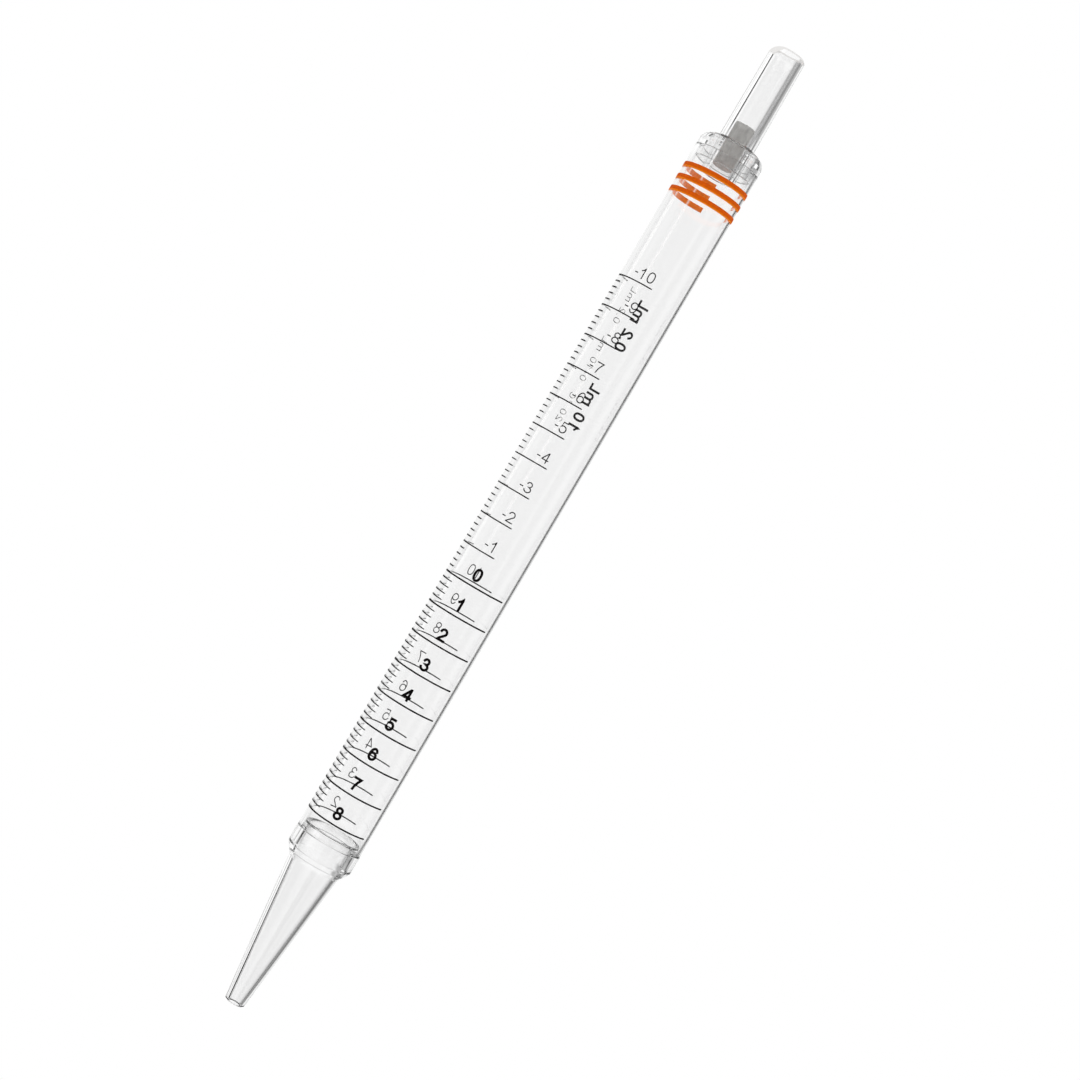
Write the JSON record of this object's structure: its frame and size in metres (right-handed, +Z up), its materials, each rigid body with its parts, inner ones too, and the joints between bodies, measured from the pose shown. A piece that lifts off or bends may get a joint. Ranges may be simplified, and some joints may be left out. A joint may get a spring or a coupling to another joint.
{
  "type": "graduated pipette",
  "caption": "Clear plastic graduated pipette with a straight barrel, tapered tip, plugged mouthpiece and orange colour bands.",
  "frame": {"origin": "centre of the tip's end face", "axes": "+Z runs up the pipette's axis from the tip to the mouthpiece's rim; -Y is the front, where the falling scale is read"},
  "size_m": [0.0152, 0.0152, 0.2321],
  "materials": {
    "clear_barrel": "clear gloss",
    "clear_tip": "clear gloss",
    "clear_mouthpiece": "clear gloss",
    "filter_fibre": "matte fibre",
    "orange_ink": "satin printed ink",
    "black_ink": "satin printed ink"
  },
  "bodies": {
    "pipette": {"barrel": "clear_barrel", "tip": "clear_tip", "mouthpiece": "clear_mouthpiece", "colour_band_upper": "orange_ink", "colour_band_middle": "orange_ink", "colour_band_lower": "orange_ink"},
    "filter": {"filter_plug": "filter_fibre"}
  },
  "joints": [
    {"name": "filter_pull", "type": "slide", "parent": "pipette", "child": "filter", "axis": [0, 0, 1], "range_m": [0, 0.0283]}
  ]
}
